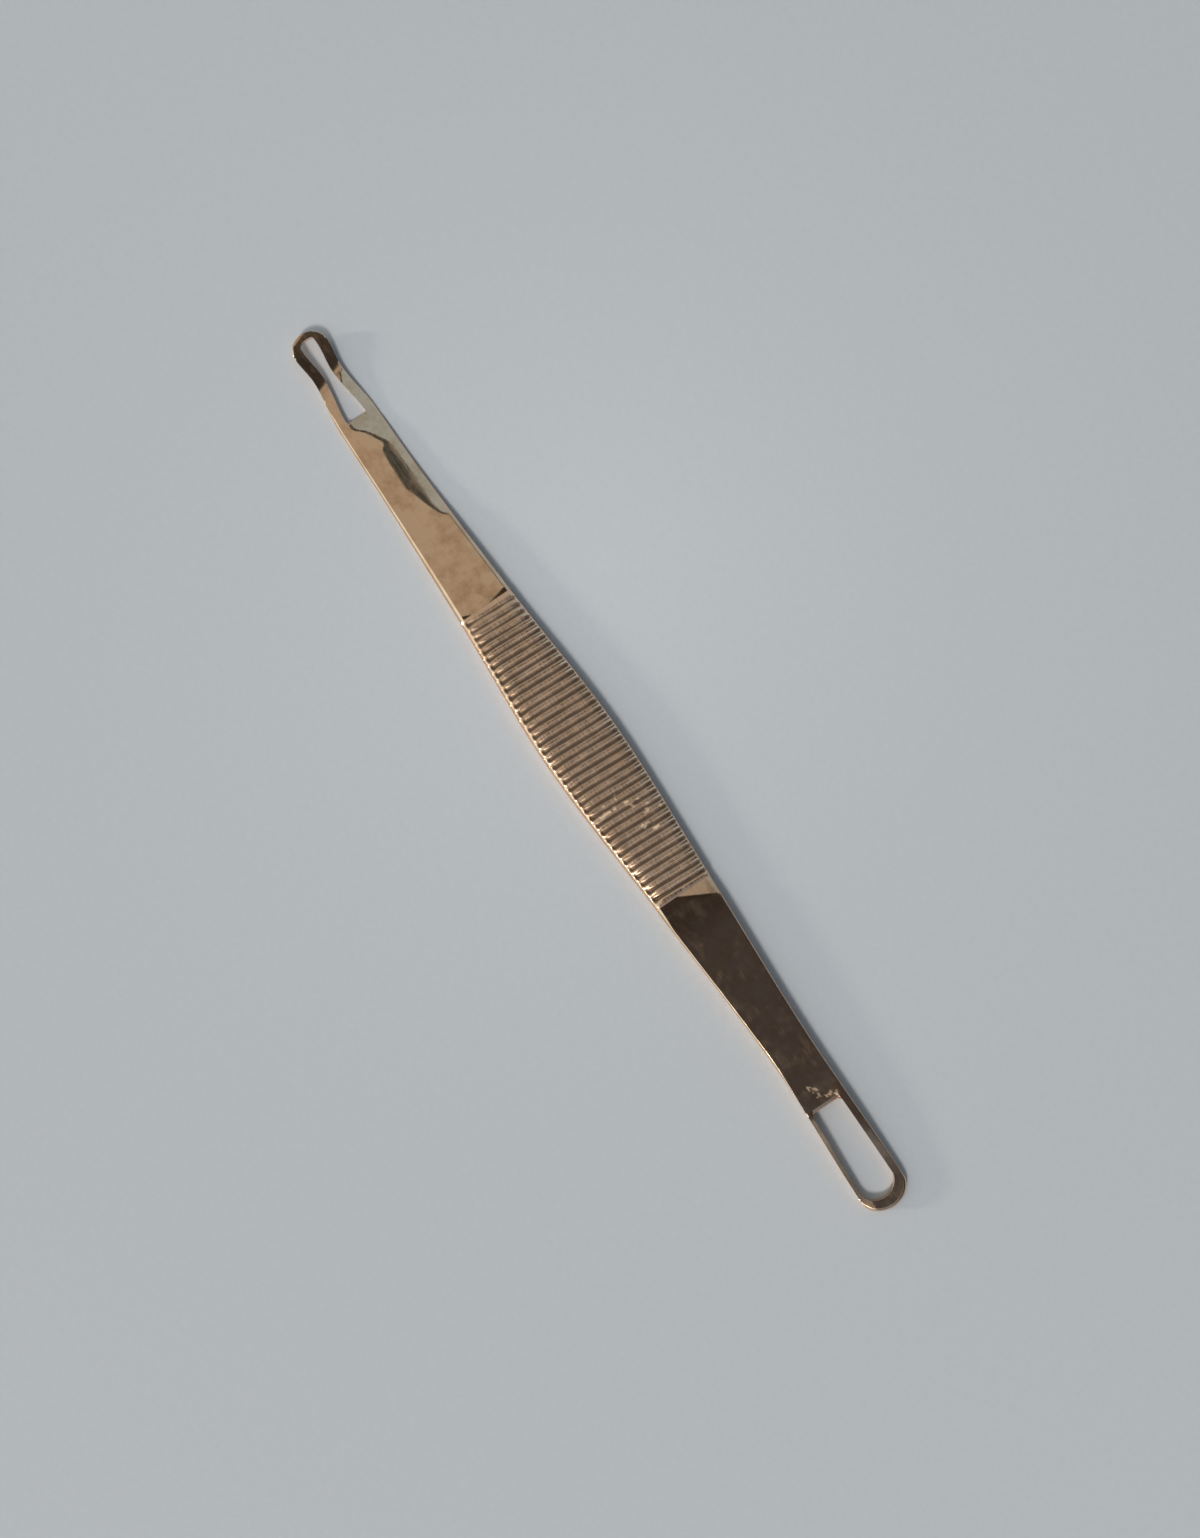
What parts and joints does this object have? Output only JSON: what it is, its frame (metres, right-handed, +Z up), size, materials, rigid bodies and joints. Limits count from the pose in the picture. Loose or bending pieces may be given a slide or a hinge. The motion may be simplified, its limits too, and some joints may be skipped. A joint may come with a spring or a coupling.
{
  "type": "blackhead extractor",
  "caption": "Flat metal blackhead extractor with a narrow waisted loop at one end, a wide rounded loop at the other and a cross-ribbed finger grip between them.",
  "frame": {"origin": "middle of the tool's length and width, on the plane its flat underside rests on", "axes": "+X from the narrow loop towards the wide loop, +Y to the left seen along +X from above, +Z up out of the flat underside"},
  "size_m": [0.1, 0.0076, 0.0014],
  "materials": {
    "polished_plating": "polished steel with a thin warm gold-tone plating, lightly scuffed",
    "ribbed_plating": "the same gold-tone plating over coarser cross ribs, darker in the grooves"
  },
  "bodies": {
    "root": {"narrow_loop": "polished_plating", "narrow_shank": "polished_plating", "ribbed_grip": "ribbed_plating", "wide_shank": "polished_plating", "wide_loop": "polished_plating"}
  },
  "joints": []
}
